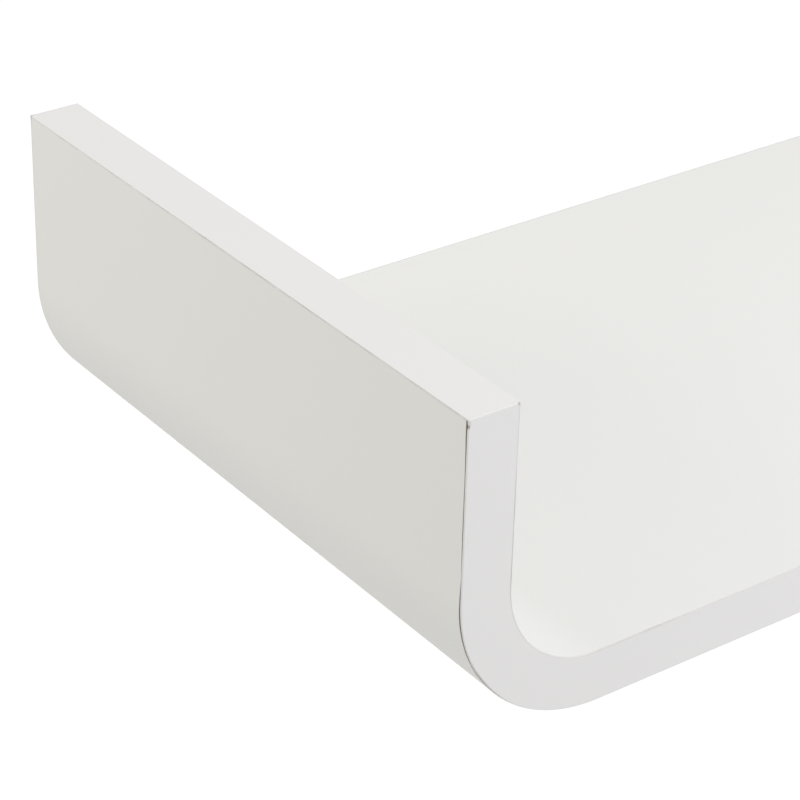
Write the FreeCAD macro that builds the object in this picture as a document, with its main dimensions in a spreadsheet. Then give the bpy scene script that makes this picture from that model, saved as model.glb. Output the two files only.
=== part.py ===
import FreeCAD, Part
import enum
import os
import Sketcher

# A floating wall shelf: a board turned up at both ends in round bends, hung on two wall screws.
# Millimetres. The wall is the plane y = 0, the front faces -Y and +Z is up. The origin lies on the
# wall, midway along the shelf, level with its underside.

SIZES = {
    # the bent board
    "shelf_length": 600,  # along the wall, over both ends
    "shelf_depth": 200,  # from the wall to the front
    "board_thickness": 15,  # core with the laminate on both sides
    "bend_radius": 45,  # on the outside of the bends
    "upright_length": 51,  # straight part of each end, above its bend
    # what covers the core
    "laminate_thickness": 0.6,
    "strip_thickness": 0.5,
    # the dowels across the butt joints of the core
    "dowel_diameter": 6,
    "dowel_length": 25,
    "dowel_in_corner": 10,  # the part of a dowel that sits in the corner piece
    "dowel_chamfer": 0.8,
    "dowel_count": 3,  # in each joint
    "dowel_edge_distance": 30,  # from the shelf's front and rear to the nearest dowel's axis
    "dowel_gap": 0.05,  # glue around a dowel
    "dowel_end_gap": 0.5,  # glue beyond each end of a dowel
    # the keyhole hanger plates
    "hanger_drop": 5,  # from the top of the shelf's end to the top of the plate
    "hanger_thickness": 1.5,
    "hanger_clearance": 0.15,  # around the plate in its recess
    "recess_lip": 1.25,  # core left on each side of the recess
    "keyhole_rim": 1.75,  # plate left on each side of the entry hole
    "slot_width": 4,
    "slot_travel": 8,  # from the entry hole's centre to the wall screw's seat
    "head_room": 4.5,  # behind the plate, for the wall screw's head
    # the countersunk screws that hold the hanger plates
    "screw_to_keyhole": 4.75,  # from the keyhole's ends to the screws' axes
    "screw_diameter": 3,
    "screw_head_diameter": 5.4,
    "screw_length": 14,
    "screw_point": 3,
    "screw_gap": 0.05,
    "driver_slot_length": 3.2,
    "driver_slot_width": 0.7,
    "driver_slot_depth": 0.9,
}

# Sizes that follow from those above, as expressions for the sheet
HALF_LENGTH = "sizes.shelf_length / 2"
TOP = "(sizes.bend_radius + sizes.upright_length)"
CORE_TOP = f"({TOP} - sizes.strip_thickness)"
CORE_THICKNESS = "(sizes.board_thickness - 2 * sizes.laminate_thickness)"
CORE_DEPTH = "(sizes.shelf_depth - 2 * sizes.strip_thickness)"
UPRIGHT_MIDDLE = f"({HALF_LENGTH} - sizes.board_thickness / 2)"
BEND_CENTRE = f"({HALF_LENGTH} - sizes.bend_radius)"
DOWEL_IN_BOARD = "(sizes.dowel_length - sizes.dowel_in_corner)"
DOWEL_HOLE_RADIUS = "(sizes.dowel_diameter / 2 + sizes.dowel_gap)"
DOWEL_ROW = "(sizes.shelf_depth - 2 * sizes.dowel_edge_distance)"
PLATE_WIDTH = f"({CORE_THICKNESS} - 2 * (sizes.recess_lip + sizes.hanger_clearance))"
ENTRY_RADIUS = f"({PLATE_WIDTH} / 2 - sizes.keyhole_rim)"
UPPER_SCREW = f"({TOP} - sizes.hanger_drop - {PLATE_WIDTH} / 2)"
SEAT = f"({UPPER_SCREW} - sizes.screw_to_keyhole - sizes.slot_width / 2)"
ENTRY = f"({SEAT} - sizes.slot_travel)"
LOWER_SCREW = f"({ENTRY} - {ENTRY_RADIUS} - sizes.screw_to_keyhole)"
SCREW_HOLE_RADIUS = "(sizes.screw_diameter / 2 + sizes.screw_gap)"
SCREW_HEAD_HEIGHT = "((sizes.screw_head_diameter - sizes.screw_diameter) / 2)"

SIDES = {"left": -1, "right": 1}


class Spot(enum.IntEnum):
    """How a sketch numbers the points of a line, an arc or a circle."""

    START = 1
    END = 2
    CENTRE = 3


class Axis(enum.IntEnum):
    """How a sketch numbers its own axes, which both start at its origin."""

    ACROSS = -1
    UP = -2


document = FreeCAD.newDocument("floating_wall_shelf")
sizes = document.addObject("Spreadsheet::Sheet", "sizes")
for row, (size_name, size) in enumerate(SIZES.items(), start=1):
    sizes.set(f"A{row}", size_name)
    sizes.set(f"B{row}", str(size))
    sizes.setAlias(f"B{row}", size_name)
document.recompute()


def value(expression):
    """The number that an expression has now."""
    return float(sizes.evalExpression(expression))


def origin_feature(body, role):
    """A plane or axis of a body's own origin."""
    return next(feature for feature in body.Origin.OriginFeatures if feature.Role == role)


def new_body(label, across="0", along="0", up="0", turn=FreeCAD.Rotation()):
    """A sub-part, turned and placed."""
    body = document.addObject("PartDesign::Body", label)
    body.Label = label
    body.Placement = FreeCAD.Placement(FreeCAD.Vector(), turn)
    for axis, expression in (("x", across), ("y", along), ("z", up)):
        body.setExpression(f"Placement.Base.{axis}", expression)
    return body


def new_sketch(body, name, plane, offset="0"):
    """A sketch on one of the body's origin planes, or offset along that plane's normal."""
    sketch = body.newObject("Sketcher::SketchObject", f"{body.Label}_{name}")
    sketch.AttachmentSupport = [(origin_feature(body, plane), "")]
    sketch.MapMode = "FlatFace"
    sketch.setExpression("AttachmentOffset.Base.z", offset)
    return sketch


def tie(sketch, geometry, point, across=None, up=None):
    """Hold a point of a sketch at these distances from the sketch's origin."""
    for kind, axis, expression in (("DistanceX", Axis.UP, across), ("DistanceY", Axis.ACROSS, up)):
        if expression == "0":
            sketch.addConstraint(Sketcher.Constraint("PointOnObject", geometry, point, axis))
        elif expression is not None:
            distance = Sketcher.Constraint(kind, Axis.ACROSS, Spot.START, geometry, point, value(expression))
            sketch.setExpression(f"Constraints[{sketch.addConstraint(distance)}]", expression)


def set_radius(sketch, geometry, expression):
    """Tie the radius of an arc or a circle to the sheet."""
    number = sketch.addConstraint(Sketcher.Constraint("Radius", geometry, value(expression)))
    sketch.setExpression(f"Constraints[{number}]", expression)


def join(sketch, kind, first, first_point, second, second_point):
    """Make the ends of two lines or arcs meet, as Coincident or Tangent."""
    sketch.addConstraint(Sketcher.Constraint(kind, first, first_point, second, second_point))


def arc_between(sketch, centre, start, end):
    """An arc that runs anticlockwise from start to end about a centre."""
    axis = FreeCAD.Vector(0, 0, 1)
    circle = Part.Circle(centre, axis, (start - centre).Length)
    return sketch.addGeometry(Part.ArcOfCircle(circle, circle.parameter(start), circle.parameter(end)))


def draw_circle(sketch, across, up, radius):
    """A circle with its centre and radius tied to the sheet."""
    centre = FreeCAD.Vector(value(across), value(up), 0)
    circle = sketch.addGeometry(Part.Circle(centre, FreeCAD.Vector(0, 0, 1), value(radius)))
    tie(sketch, circle, Spot.CENTRE, across, up)
    set_radius(sketch, circle, radius)


def draw_polygon(sketch, corners):
    """A closed outline of straight lines, with every corner tied to the sheet."""
    points = [FreeCAD.Vector(value(across), value(up), 0) for across, up in corners]
    count = len(points)
    lines = [
        sketch.addGeometry(Part.LineSegment(points[i], points[(i + 1) % count])) for i in range(count)
    ]
    for i, (across, up) in enumerate(corners):
        join(sketch, "Coincident", lines[i - 1], Spot.END, lines[i], Spot.START)
        tie(sketch, lines[i], Spot.START, across, up)


def draw_rectangle(sketch, left, right, low, high):
    """An upright rectangle between four edges."""
    draw_polygon(sketch, [(left, low), (right, low), (right, high), (left, high)])


def draw_obround(sketch, across, low, high, radius):
    """An upright slot: half circles about two centres, one above the other, and two straight sides."""
    reach = FreeCAD.Vector(value(radius), 0, 0)
    low_centre = FreeCAD.Vector(value(across), value(low), 0)
    high_centre = FreeCAD.Vector(value(across), value(high), 0)
    low_arc = arc_between(sketch, low_centre, low_centre - reach, low_centre + reach)
    right_side = sketch.addGeometry(Part.LineSegment(low_centre + reach, high_centre + reach))
    high_arc = arc_between(sketch, high_centre, high_centre + reach, high_centre - reach)
    left_side = sketch.addGeometry(Part.LineSegment(high_centre - reach, low_centre - reach))
    loop = [low_arc, right_side, high_arc, left_side]
    for i, geometry in enumerate(loop):
        join(sketch, "Tangent", loop[i - 1], Spot.END, geometry, Spot.START)
    tie(sketch, low_arc, Spot.CENTRE, across, low)
    tie(sketch, high_arc, Spot.CENTRE, across, high)
    set_radius(sketch, low_arc, radius)
    sketch.addConstraint(Sketcher.Constraint("Equal", low_arc, high_arc))


def draw_bent_board(sketch, outer, inner, top):
    """The U that lies between two depths below the board's outside, up to a level."""
    outside = f"({HALF_LENGTH} - {outer})"
    inside = f"({HALF_LENGTH} - {inner})"
    outer_radius = f"(sizes.bend_radius - {outer})"
    inner_radius = f"(sizes.bend_radius - {inner})"
    # Each side in turn: whether it stands up, where it lies and the radius of the bend at its end
    sides = [
        (True, f"-{outside}", outer_radius),
        (False, outer, outer_radius),
        (True, outside, None),
        (False, top, None),
        (True, inside, inner_radius),
        (False, inner, inner_radius),
        (True, f"-{inside}", None),
        (False, top, None),
    ]
    count = len(sides)
    corners = []
    for i, (stands, place, _) in enumerate(sides):
        other = sides[(i + 1) % count][1]
        across, up = (place, other) if stands else (other, place)
        corners.append(FreeCAD.Vector(value(across), value(up), 0))
    starts = []
    ends = []
    for i, corner in enumerate(corners):
        radius = value(sides[i][2]) if sides[i][2] else 0
        arriving = (corner - corners[i - 1]).normalize()
        leaving = (corners[(i + 1) % count] - corner).normalize()
        ends.append(corner - arriving * radius)
        starts.append(corner + leaving * radius)
    lines = [sketch.addGeometry(Part.LineSegment(starts[i - 1], ends[i])) for i in range(count)]
    for i, (stands, place, radius) in enumerate(sides):
        after = lines[(i + 1) % count]
        sketch.addConstraint(Sketcher.Constraint("Vertical" if stands else "Horizontal", lines[i]))
        tie(sketch, lines[i], Spot.START, place if stands else None, None if stands else place)
        if radius is None:
            join(sketch, "Coincident", lines[i], Spot.END, after, Spot.START)
            continue
        centre = ends[i] + starts[i] - corners[i]
        turns_left = (ends[i] - centre).cross(starts[i] - centre).z > 0
        first, last = (ends[i], starts[i]) if turns_left else (starts[i], ends[i])
        bend = arc_between(sketch, centre, first, last)
        join(sketch, "Tangent", lines[i], Spot.END, bend, Spot.START if turns_left else Spot.END)
        join(sketch, "Tangent", bend, Spot.END if turns_left else Spot.START, after, Spot.START)
        set_radius(sketch, bend, radius)


def draw_quarter_ring(sketch, outer, inner):
    """A quarter of a ring about the sketch's origin, below it and to its left."""
    centre = FreeCAD.Vector()
    across = FreeCAD.Vector(-1, 0, 0)
    down = FreeCAD.Vector(0, -1, 0)
    far, near = value(outer), value(inner)
    outer_arc = arc_between(sketch, centre, across * far, down * far)
    inner_arc = arc_between(sketch, centre, across * near, down * near)
    upper_end = sketch.addGeometry(Part.LineSegment(across * far, across * near))
    shelf_end = sketch.addGeometry(Part.LineSegment(down * far, down * near))
    for arc, radius, point in ((outer_arc, outer, Spot.START), (inner_arc, inner, Spot.END)):
        sketch.addConstraint(Sketcher.Constraint("Coincident", arc, Spot.CENTRE, Axis.ACROSS, Spot.START))
        set_radius(sketch, arc, radius)
        join(sketch, "Coincident", upper_end, point, arc, Spot.START)
        join(sketch, "Coincident", shelf_end, point, arc, Spot.END)
        tie(sketch, upper_end, point, None, "0")
        tie(sketch, shelf_end, point, "0", None)


def add_pad(body, sketch, length):
    """Material from a sketch, along the normal of its plane."""
    pad = body.newObject("PartDesign::Pad", f"{sketch.Label}_pad")
    pad.Profile = sketch
    pad.setExpression("Length", length)
    document.recompute()


def add_pocket(body, sketch, depth, along_normal):
    """A cut from a sketch, along the normal of its plane or against it. It has to remove something."""
    volume_before = body.Shape.Volume
    pocket = body.newObject("PartDesign::Pocket", f"{sketch.Label}_pocket")
    pocket.Profile = sketch
    pocket.setExpression("Length", depth)
    pocket.Reversed = along_normal
    document.recompute()
    if body.Shape.Volume >= volume_before:
        raise RuntimeError(f"{pocket.Label} cuts nothing")
    return pocket


def add_revolution(body, sketch):
    """Material from a sketch, turned about the sketch's upright axis."""
    revolution = body.newObject("PartDesign::Revolution", f"{sketch.Label}_revolution")
    revolution.Profile = sketch
    revolution.ReferenceAxis = (sketch, ["V_Axis"])
    revolution.Angle = 360
    document.recompute()
    return revolution


def add_row(body, feature, axis, reversed_axis, length, count):
    """Copies of a feature, evenly spaced over a length along one of the body's axes."""
    pattern = body.newObject("PartDesign::LinearPattern", f"{feature.Label}_row")
    pattern.Originals = [feature]
    pattern.Direction = (origin_feature(body, axis), [""])
    pattern.Reversed = reversed_axis
    pattern.setExpression("Length", length)
    pattern.setExpression("Occurrences", count)
    body.Tip = pattern
    document.recompute()
    return pattern


def add_dowel_holes(body, name, plane, offset, across, up, depth, along_normal):
    """A row of dowel holes from the front of the shelf to its rear."""
    sketch = new_sketch(body, name, plane, offset)
    draw_circle(sketch, across, up, DOWEL_HOLE_RADIUS)
    hole = add_pocket(body, sketch, f"{depth} + sizes.dowel_end_gap", along_normal)
    add_row(body, hole, "Y_Axis", True, DOWEL_ROW, "sizes.dowel_count")


FIRST_DOWEL = "-sizes.dowel_edge_distance"


# The core: a shelf panel, two bent corner pieces and two uprights, butted and dowelled together
def make_shelf_panel():
    """The flat core of the shelf, with dowel holes in both ends."""
    body = new_body("shelf_panel", up="sizes.board_thickness / 2")
    section = new_sketch(body, "section", "XZ_Plane", "sizes.strip_thickness")
    half_core = f"{CORE_THICKNESS} / 2"
    draw_rectangle(section, f"-{BEND_CENTRE}", BEND_CENTRE, f"-{half_core}", half_core)
    add_pad(body, section, CORE_DEPTH)
    for side, sign in SIDES.items():
        place = f"{sign} * {BEND_CENTRE}"
        add_dowel_holes(
            body, f"{side}_holes", "YZ_Plane", place, FIRST_DOWEL, "0", DOWEL_IN_BOARD, sign < 0
        )
    return body


def make_corner(side):
    """The core of one bend: a quarter of a ring, with dowel holes in both of its end faces."""
    sign = SIDES[side]
    turn = FreeCAD.Rotation(FreeCAD.Vector(0, 0, 1), 180 if sign > 0 else 0)
    rear = "-sizes.shelf_depth" if sign > 0 else "0"
    body = new_body(f"{side}_corner", f"{sign} * {BEND_CENTRE}", rear, "sizes.bend_radius", turn)
    section = new_sketch(body, "section", "XZ_Plane", "sizes.strip_thickness")
    outer = "(sizes.bend_radius - sizes.laminate_thickness)"
    inner = f"({outer} - {CORE_THICKNESS})"
    draw_quarter_ring(section, outer, inner)
    add_pad(body, section, CORE_DEPTH)
    middle = "-(sizes.bend_radius - sizes.board_thickness / 2)"
    holes = (body, "shelf_holes", "YZ_Plane", "0", FIRST_DOWEL, middle, "sizes.dowel_in_corner", False)
    add_dowel_holes(*holes)
    holes = (body, "upright_holes", "XY_Plane", "0", middle, FIRST_DOWEL, "sizes.dowel_in_corner", False)
    add_dowel_holes(*holes)
    return body


def make_upright(side):
    """The core of one turned-up end, with dowel holes below and the hanger's recess in its rear edge."""
    body = new_body(f"{side}_upright", f"{SIDES[side]} * {UPRIGHT_MIDDLE}")
    section = new_sketch(body, "section", "XZ_Plane", "sizes.strip_thickness")
    half_core = f"{CORE_THICKNESS} / 2"
    draw_rectangle(section, f"-{half_core}", half_core, "sizes.bend_radius", CORE_TOP)
    add_pad(body, section, CORE_DEPTH)
    add_dowel_holes(
        body, "corner_holes", "XY_Plane", "sizes.bend_radius", "0", FIRST_DOWEL, DOWEL_IN_BOARD, True
    )
    recess = new_sketch(body, "plate_recess", "XZ_Plane")
    draw_obround(recess, "0", LOWER_SCREW, UPPER_SCREW, f"{PLATE_WIDTH} / 2 + sizes.hanger_clearance")
    add_pocket(body, recess, "sizes.hanger_thickness", True)
    relief = new_sketch(body, "head_relief", "XZ_Plane")
    draw_obround(relief, "0", ENTRY, SEAT, ENTRY_RADIUS)
    add_pocket(body, relief, "sizes.hanger_thickness + sizes.head_room", True)
    pilots = new_sketch(body, "screw_holes", "XZ_Plane")
    for level in (LOWER_SCREW, UPPER_SCREW):
        draw_circle(pilots, "0", level, SCREW_HOLE_RADIUS)
    add_pocket(body, pilots, "sizes.screw_length", True)
    return body


# The dowels, one row in each of the four joints
def make_dowels(side, joint, across, up, towards_board):
    """A row of chamfered dowels whose axes stand up before the row is turned into its joint."""
    turn = FreeCAD.Rotation(FreeCAD.Vector(0, 0, 1), FreeCAD.Vector(*towards_board))
    body = new_body(f"{side}_{joint}_dowels", across, "0", up, turn)
    profile = new_sketch(body, "profile", "XZ_Plane", "sizes.dowel_edge_distance")
    radius = "sizes.dowel_diameter / 2"
    end_radius = f"({radius} - sizes.dowel_chamfer)"
    low = "-sizes.dowel_in_corner"
    high = DOWEL_IN_BOARD
    draw_polygon(
        profile,
        [
            ("0", low),
            (end_radius, low),
            (radius, f"{low} + sizes.dowel_chamfer"),
            (radius, f"{high} - sizes.dowel_chamfer"),
            (end_radius, high),
            ("0", high),
        ],
    )
    dowel = add_revolution(body, profile)
    add_row(body, dowel, "Y_Axis", True, DOWEL_ROW, "sizes.dowel_count")
    return body


# The laminate on both faces of the board and the strips on its edges
def make_bent_layer(label, outer, inner, top, rear, depth):
    """A layer of the bent board, between two depths below its outside, that starts rear of the wall."""
    body = new_body(label)
    section = new_sketch(body, "section", "XZ_Plane", rear)
    draw_bent_board(section, outer, inner, top)
    add_pad(body, section, depth)
    return body


def make_rear_strip():
    """The strip on the rear edge, with an opening around each hanger plate."""
    body = make_bent_layer("rear_edge_strip", "0", "sizes.board_thickness", TOP, "0", "sizes.strip_thickness")
    openings = new_sketch(body, "plate_openings", "XZ_Plane")
    radius = f"{PLATE_WIDTH} / 2 + sizes.hanger_clearance"
    for sign in SIDES.values():
        draw_obround(openings, f"{sign} * {UPRIGHT_MIDDLE}", LOWER_SCREW, UPPER_SCREW, radius)
    add_pocket(body, openings, "sizes.strip_thickness", True)
    return body


def make_top_strip(side):
    """The strip on the top edge of one turned-up end, between the front strip and the rear one."""
    body = new_body(f"{side}_top_strip", f"{SIDES[side]} * {UPRIGHT_MIDDLE}")
    section = new_sketch(body, "section", "XZ_Plane", "sizes.strip_thickness")
    half_board = "sizes.board_thickness / 2"
    draw_rectangle(section, f"-{half_board}", half_board, CORE_TOP, TOP)
    add_pad(body, section, CORE_DEPTH)
    return body


# The keyhole hangers, let in flush with the rear edge
def make_hanger_plate(side):
    """A round-ended steel plate with a keyhole between two countersunk screw holes."""
    body = new_body(f"{side}_hanger_plate", f"{SIDES[side]} * {UPRIGHT_MIDDLE}")
    blank = new_sketch(body, "blank", "XZ_Plane")
    draw_obround(blank, "0", LOWER_SCREW, UPPER_SCREW, f"{PLATE_WIDTH} / 2")
    add_pad(body, blank, "sizes.hanger_thickness")
    entry = new_sketch(body, "entry", "XZ_Plane")
    draw_circle(entry, "0", ENTRY, ENTRY_RADIUS)
    add_pocket(body, entry, "sizes.hanger_thickness", True)
    slot = new_sketch(body, "slot", "XZ_Plane")
    draw_obround(slot, "0", ENTRY, SEAT, "sizes.slot_width / 2")
    add_pocket(body, slot, "sizes.hanger_thickness", True)
    holes = new_sketch(body, "screw_holes", "XZ_Plane")
    for level in (LOWER_SCREW, UPPER_SCREW):
        draw_circle(holes, "0", level, SCREW_HOLE_RADIUS)
    add_pocket(body, holes, "sizes.hanger_thickness", True)
    for name, level in (("lower", LOWER_SCREW), ("upper", UPPER_SCREW)):
        countersink = body.newObject("PartDesign::SubtractiveCone", f"{body.Label}_{name}_countersink")
        countersink.AttachmentSupport = [(origin_feature(body, "XZ_Plane"), "")]
        countersink.MapMode = "FlatFace"
        countersink.setExpression("AttachmentOffset.Base.y", level)
        countersink.setExpression("Radius1", "sizes.screw_head_diameter / 2 + sizes.screw_gap")
        countersink.setExpression("Radius2", SCREW_HOLE_RADIUS)
        countersink.setExpression("Height", SCREW_HEAD_HEIGHT)
        document.recompute()
    return body


def make_hanger_screws(side):
    """The two countersunk screws of one hanger plate, with cross-shaped driver recesses."""
    body = new_body(f"{side}_hanger_screws", f"{SIDES[side]} * {UPRIGHT_MIDDLE}", "0", LOWER_SCREW)
    profile = new_sketch(body, "profile", "XY_Plane")
    shank_radius = "sizes.screw_diameter / 2"
    draw_polygon(
        profile,
        [
            ("0", "0"),
            ("sizes.screw_head_diameter / 2", "0"),
            (shank_radius, f"-{SCREW_HEAD_HEIGHT}"),
            (shank_radius, "-(sizes.screw_length - sizes.screw_point)"),
            ("0", "-sizes.screw_length"),
        ],
    )
    add_revolution(body, profile)
    long_half = "sizes.driver_slot_length / 2"
    short_half = "sizes.driver_slot_width / 2"
    for name, half_width, half_height in (
        ("level_slot", long_half, short_half),
        ("upright_slot", short_half, long_half),
    ):
        slot = new_sketch(body, name, "XZ_Plane")
        draw_rectangle(slot, f"-{half_width}", half_width, f"-{half_height}", half_height)
        add_pocket(body, slot, "sizes.driver_slot_depth", True)
    pattern = body.newObject("PartDesign::LinearPattern", f"{body.Label}_pair")
    pattern.TransformMode = "Whole shape"
    pattern.Direction = (origin_feature(body, "Z_Axis"), [""])
    pattern.setExpression("Length", f"{UPPER_SCREW} - {LOWER_SCREW}")
    pattern.Occurrences = 2
    body.Tip = pattern
    document.recompute()
    return body


FRONT_STRIP_REAR = "sizes.shelf_depth - sizes.strip_thickness"
INNER_LAMINATE = "(sizes.board_thickness - sizes.laminate_thickness)"

sub_parts = [make_shelf_panel()]
for side, sign in SIDES.items():
    sub_parts.append(make_corner(side))
    sub_parts.append(make_upright(side))
    sub_parts.append(
        make_dowels(side, "shelf", f"{sign} * {BEND_CENTRE}", "sizes.board_thickness / 2", (-sign, 0, 0))
    )
    sub_parts.append(
        make_dowels(side, "upright", f"{sign} * {UPRIGHT_MIDDLE}", "sizes.bend_radius", (0, 0, 1))
    )
    sub_parts.append(make_top_strip(side))
    sub_parts.append(make_hanger_plate(side))
    sub_parts.append(make_hanger_screws(side))
for label, outer, inner in (
    ("outer_laminate", "0", "sizes.laminate_thickness"),
    ("inner_laminate", INNER_LAMINATE, "sizes.board_thickness"),
):
    sub_parts.append(make_bent_layer(label, outer, inner, CORE_TOP, "sizes.strip_thickness", CORE_DEPTH))
sub_parts.append(
    make_bent_layer(
        "front_edge_strip", "0", "sizes.board_thickness", TOP, FRONT_STRIP_REAR, "sizes.strip_thickness"
    )
)
sub_parts.append(make_rear_strip())

document.recompute()
for item in document.Objects:
    if "Invalid" in item.State or "Error" in item.State:
        raise RuntimeError(f"{item.Label} failed: {item.State}")
for part in sub_parts:
    if part.Shape.isNull() or not part.Shape.isValid():
        raise RuntimeError(f"{part.Label} has no valid shape")

os.makedirs("parts", exist_ok=True)
for part in sub_parts:
    part.Shape.exportStep(f"parts/{part.Label}.step")
    box = part.Shape.BoundBox
    print(
        f"{part.Label}: {len(part.Shape.Solids)} solid(s), {part.Shape.Volume:.1f} mm3, "
        f"x {box.XMin:.2f} to {box.XMax:.2f}, y {box.YMin:.2f} to {box.YMax:.2f}, "
        f"z {box.ZMin:.2f} to {box.ZMax:.2f}"
    )
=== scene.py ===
import bmesh
import bpy
import numpy as np
from mathutils import Matrix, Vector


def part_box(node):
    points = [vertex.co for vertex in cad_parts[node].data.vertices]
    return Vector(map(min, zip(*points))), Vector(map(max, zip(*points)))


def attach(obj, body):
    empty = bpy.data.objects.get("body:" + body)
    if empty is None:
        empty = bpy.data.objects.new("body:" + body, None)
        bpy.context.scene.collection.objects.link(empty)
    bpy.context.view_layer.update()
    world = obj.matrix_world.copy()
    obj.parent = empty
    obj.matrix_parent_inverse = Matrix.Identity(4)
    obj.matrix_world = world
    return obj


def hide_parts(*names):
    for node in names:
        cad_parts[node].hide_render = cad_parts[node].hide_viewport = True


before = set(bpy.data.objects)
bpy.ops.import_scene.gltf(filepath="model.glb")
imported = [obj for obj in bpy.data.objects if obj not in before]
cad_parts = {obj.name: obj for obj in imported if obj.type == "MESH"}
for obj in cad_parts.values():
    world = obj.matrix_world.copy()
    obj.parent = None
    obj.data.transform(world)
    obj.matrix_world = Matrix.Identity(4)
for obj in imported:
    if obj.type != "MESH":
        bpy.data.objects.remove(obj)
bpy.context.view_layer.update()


# Core
#
# A flat panel, two quarter-round corners and two uprights of medium-density fibreboard, sawn and
# milled, then glued end to end. Laminate and edging cover all of it: it shows only at the bottom
# of the seams and inside the recesses of the hangers.
MM = 0.001  # pieces are worked out in mm, the scales of materials in metres


def linear(code):
    """Linear colour of an sRGB hex code: c / 12.92 up to 0.04045, ((c + 0.055) / 1.055) ** 2.4 above."""
    c = np.array([int(code[k : k + 2], 16) for k in (1, 3, 5)]) / 255
    return (*np.where(c <= 0.04045, c / 12.92, ((c + 0.055) / 1.055) ** 2.4), 1.0)


def new_material(name):
    """An empty node material."""
    material = bpy.data.materials.new(name)
    material.use_nodes = True
    material.node_tree.nodes.clear()
    return material


def add_node(tree, kind, links, **settings):
    """Adds a node: settings are its properties, links give an input a value or another node's output."""
    node = tree.nodes.new(kind)
    for name, value in settings.items():
        setattr(node, name, value)
    for name, value in links.items():
        if isinstance(value, bpy.types.NodeSocket):
            tree.links.new(value, node.inputs[name])
        else:
            node.inputs[name].default_value = value
    return node


# Fibreboard: wood fibres felted and pressed with resin, so the cut face is a dull brown felt with
# pale fibre bundles of about a millimetre and darker flecks of bark.
FIBRE, FLECK = 0.9 * MM, 3.5 * MM
mdf = new_material("medium_density_fibreboard")
nodes = mdf.node_tree
place = add_node(nodes, "ShaderNodeTexCoord", {}).outputs["Object"]
fibres = add_node(
    nodes, "ShaderNodeTexNoise", {"Vector": place, "Scale": 1 / FIBRE, "Detail": 4.0, "Roughness": 0.7}
).outputs["Fac"]
flecks = add_node(
    nodes, "ShaderNodeTexNoise", {"Vector": place, "Scale": 1 / FLECK, "Detail": 3.0, "Roughness": 0.6}
).outputs["Fac"]
bark = add_node(
    nodes, "ShaderNodeMapRange", {"Value": flecks, "From Min": 0.58, "From Max": 0.72}
).outputs[0]
felt = add_node(
    nodes, "ShaderNodeMix", {0: fibres, 6: linear("#8F7154"), 7: linear("#C0A587")}, data_type="RGBA"
).outputs[2]
sawn = add_node(
    nodes, "ShaderNodeMix", {0: bark, 6: felt, 7: linear("#7A5D43")}, data_type="RGBA"
).outputs[2]
nap = add_node(
    nodes, "ShaderNodeBump", {"Height": fibres, "Strength": 0.6, "Distance": 0.08 * MM}
).outputs["Normal"]
shader = add_node(
    nodes, "ShaderNodeBsdfPrincipled", {"Base Color": sawn, "Roughness": 0.88, "IOR": 1.45, "Normal": nap}
)
add_node(nodes, "ShaderNodeOutputMaterial", {"Surface": shader.outputs[0]})

for node in ("shelf_panel", "left_corner", "right_corner", "left_upright", "right_upright"):
    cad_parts[node].data.materials.clear()
    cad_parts[node].data.materials.append(mdf)


# Dowels
#
# Three beech dowels across each butt joint of the core. They are turned, fluted so that the glue
# can spread, and chamfered at both ends.
DOWELS, CHAMFER = 3, 0.8
FLUTES, FLUTE_DEPTH, FLUTE_RUN_OUT, FLUTE_SHARPNESS = 18, 0.22, 1.2, 3
FROM_DOWEL_END = np.array([0, 0.05, 0.4, CHAMFER, CHAMFER + 0.3, CHAMFER + FLUTE_RUN_OUT])
AROUND_DOWEL = np.linspace(0, 2 * np.pi, 144, endpoint=False)
SHARP = np.radians(40)
SAME_POINT = 2e-7  # in metres


def add_piece(name, points, faces, material, **marks):
    """A piece from points in mm and their faces, riding on the shelf.

    Points in the same place become one, faces are turned outwards, and edges that turn by more than
    SHARP stay sharp. marks are values at the points, which the material reads by name.
    """
    mesh = bpy.data.meshes.new(name)
    mesh.from_pydata((points * MM).tolist(), [], faces)
    for mark, values in marks.items():
        values = np.asarray(values, np.float32).ravel()
        mesh.attributes.new(mark, "FLOAT", "POINT").data.foreach_set("value", values)
    work = bmesh.new()
    work.from_mesh(mesh)
    bmesh.ops.remove_doubles(work, verts=work.verts, dist=SAME_POINT)
    bmesh.ops.recalc_face_normals(work, faces=work.faces)
    work.to_mesh(mesh)
    work.free()
    mesh.polygons.foreach_set("use_smooth", np.ones(len(mesh.polygons), bool))
    mesh.set_sharp_from_angle(angle=SHARP)
    mesh.materials.append(material)
    piece = bpy.data.objects.new(name, mesh)
    bpy.context.scene.collection.objects.link(piece)
    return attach(piece, "root")


def ring_faces(index):
    """Four-sided faces between neighbouring points of neighbouring rings, from the points' numbers."""
    near, far = index[:-1], index[1:]
    return np.stack([near, np.roll(near, -1, 1), np.roll(far, -1, 1), far], axis=-1)


def skin(name, stacks, material, **marks):
    """A closed piece over stacks of rings, given in mm by stack, ring, point and coordinate.

    Faces join each ring to the next, and one face closes each end of a stack.
    """
    faces = []
    for rings in np.arange(stacks[..., 0].size).reshape(stacks.shape[:3]):
        faces += ring_faces(rings).reshape(-1, 4).tolist()
        faces += [rings[0, ::-1].tolist(), rings[-1].tolist()]
    marks = {mark: np.broadcast_to(values, stacks.shape[:3]) for mark, values in marks.items()}
    return add_piece(name, stacks.reshape(-1, 3), faces, material, **marks)


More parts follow.
